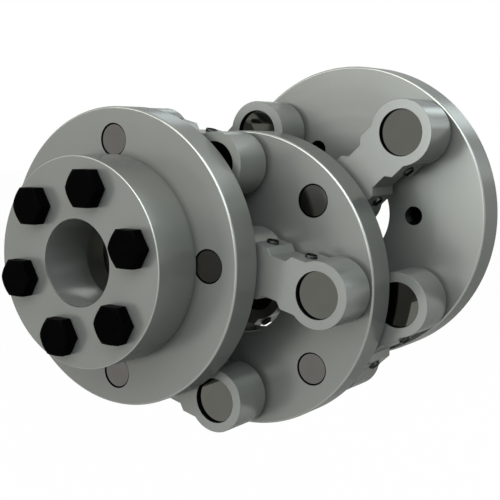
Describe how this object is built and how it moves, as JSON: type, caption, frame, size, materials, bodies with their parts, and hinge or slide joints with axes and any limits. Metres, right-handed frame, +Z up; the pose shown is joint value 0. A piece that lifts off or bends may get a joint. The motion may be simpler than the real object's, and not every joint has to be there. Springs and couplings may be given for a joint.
{
  "type": "offset shaft coupling",
  "caption": "Three steel discs joined by two sets of parallel links that carry torque between two parallel shafts lying out of line.",
  "frame": {"origin": "on the input shaft's axis, at the joint face between the input hub and its disc", "axes": "+Y along the shafts from the input to the output, +Z up as in the picture, +X to the right seen from the input; the output shaft lies towards +X and +Z"},
  "size_m": [0.2487, 0.1846, 0.1949],
  "materials": {
    "disc_steel": "satin, fine turned",
    "link_steel": "satin, fine milled",
    "pin_steel": "ground bright",
    "cap_steel": "polished flat",
    "black_screws": "black oxide, matt",
    "bearing_steel": "ground",
    "washer_bronze": "dull",
    "nipple_steel": "blackened"
  },
  "bodies": {
    "input_end": {"input_hub": "disc_steel", "input_hub_screws": "black_screws", "input_disc": "disc_steel", "input_disc_pin_1": "pin_steel", "input_disc_pin_2": "pin_steel", "input_disc_pin_3": "pin_steel", "input_disc_pin_4": "pin_steel", "input_disc_washers": "washer_bronze"},
    "output_end": {"output_disc": "disc_steel", "output_disc_pin_1": "pin_steel", "output_disc_pin_2": "pin_steel", "output_disc_pin_3": "pin_steel", "output_disc_pin_4": "pin_steel", "output_disc_washers": "washer_bronze", "output_hub": "disc_steel", "output_hub_screws": "black_screws"},
    "middle": {"middle_disc": "disc_steel", "middle_disc_first_pin_1": "pin_steel", "middle_disc_first_pin_2": "pin_steel", "middle_disc_first_pin_3": "pin_steel", "middle_disc_first_pin_4": "pin_steel", "middle_disc_second_pin_1": "pin_steel", "middle_disc_second_pin_2": "pin_steel", "middle_disc_second_pin_3": "pin_steel", "middle_disc_second_pin_4": "pin_steel", "middle_disc_first_washers": "washer_bronze", "middle_disc_second_washers": "washer_bronze"},
    "first_link_1": {"first_link_1": "link_steel", "first_link_1_bearings": "bearing_steel", "first_link_1_caps": "cap_steel", "first_link_1_nipples": "nipple_steel"},
    "first_link_2": {"first_link_2": "link_steel", "first_link_2_bearings": "bearing_steel", "first_link_2_caps": "cap_steel", "first_link_2_nipples": "nipple_steel"},
    "first_link_3": {"first_link_3": "link_steel", "first_link_3_bearings": "bearing_steel", "first_link_3_caps": "cap_steel", "first_link_3_nipples": "nipple_steel"},
    "first_link_4": {"first_link_4": "link_steel", "first_link_4_bearings": "bearing_steel", "first_link_4_caps": "cap_steel", "first_link_4_nipples": "nipple_steel"},
    "second_link_1": {"second_link_1": "link_steel", "second_link_1_bearings": "bearing_steel", "second_link_1_caps": "cap_steel", "second_link_1_nipples": "nipple_steel"},
    "second_link_2": {"second_link_2": "link_steel", "second_link_2_bearings": "bearing_steel", "second_link_2_caps": "cap_steel", "second_link_2_nipples": "nipple_steel"},
    "second_link_3": {"second_link_3": "link_steel", "second_link_3_bearings": "bearing_steel", "second_link_3_caps": "cap_steel", "second_link_3_nipples": "nipple_steel"},
    "second_link_4": {"second_link_4": "link_steel", "second_link_4_bearings": "bearing_steel", "second_link_4_caps": "cap_steel", "second_link_4_nipples": "nipple_steel"}
  },
  "joints": [
    {"name": "first_link_1_swing", "type": "hinge", "parent": "input_end", "child": "first_link_1", "pos_m": [0.0625, 0.0325, 0], "axis": [0, 1, 0], "continuous": true},
    {"name": "first_link_2_swing", "type": "hinge", "parent": "input_end", "child": "first_link_2", "pos_m": [0, 0.0325, 0.0625], "axis": [0, 1, 0], "continuous": true},
    {"name": "first_link_3_swing", "type": "hinge", "parent": "input_end", "child": "first_link_3", "pos_m": [-0.0625, 0.0325, 0], "axis": [0, 1, 0], "continuous": true},
    {"name": "first_link_4_swing", "type": "hinge", "parent": "input_end", "child": "first_link_4", "pos_m": [0, 0.0325, -0.0625], "axis": [0, 1, 0], "continuous": true},
    {"name": "middle_swing", "type": "hinge", "parent": "first_link_1", "child": "middle", "pos_m": [0.11284, 0.0325, -0.01264], "axis": [0, 1, 0], "continuous": true},
    {"name": "second_link_1_swing", "type": "hinge", "parent": "middle", "child": "second_link_1", "pos_m": [0.09453, 0.0795, 0.03155], "axis": [0, 1, 0], "continuous": true},
    {"name": "second_link_2_swing", "type": "hinge", "parent": "middle", "child": "second_link_2", "pos_m": [0.00614, 0.0795, 0.03155], "axis": [0, 1, 0], "continuous": true},
    {"name": "second_link_3_swing", "type": "hinge", "parent": "middle", "child": "second_link_3", "pos_m": [0.00614, 0.0795, -0.05684], "axis": [0, 1, 0], "continuous": true},
    {"name": "second_link_4_swing", "type": "hinge", "parent": "middle", "child": "second_link_4", "pos_m": [0.09453, 0.0795, -0.05684], "axis": [0, 1, 0], "continuous": true},
    {"name": "output_end_swing", "type": "hinge", "parent": "second_link_1", "child": "output_end", "pos_m": [0.13292, 0.0795, 0.06648], "axis": [0, 1, 0], "continuous": true}
  ],
  "couplings": [
    {"joint": "first_link_2_swing", "follows": "first_link_1_swing", "ratio": 1},
    {"joint": "first_link_3_swing", "follows": "first_link_1_swing", "ratio": 1},
    {"joint": "first_link_4_swing", "follows": "first_link_1_swing", "ratio": 1},
    {"joint": "middle_swing", "follows": "first_link_1_swing", "ratio": -1},
    {"joint": "second_link_2_swing", "follows": "second_link_1_swing", "ratio": 1},
    {"joint": "second_link_3_swing", "follows": "second_link_1_swing", "ratio": 1},
    {"joint": "second_link_4_swing", "follows": "second_link_1_swing", "ratio": 1},
    {"joint": "output_end_swing", "follows": "second_link_1_swing", "ratio": -1}
  ]
}
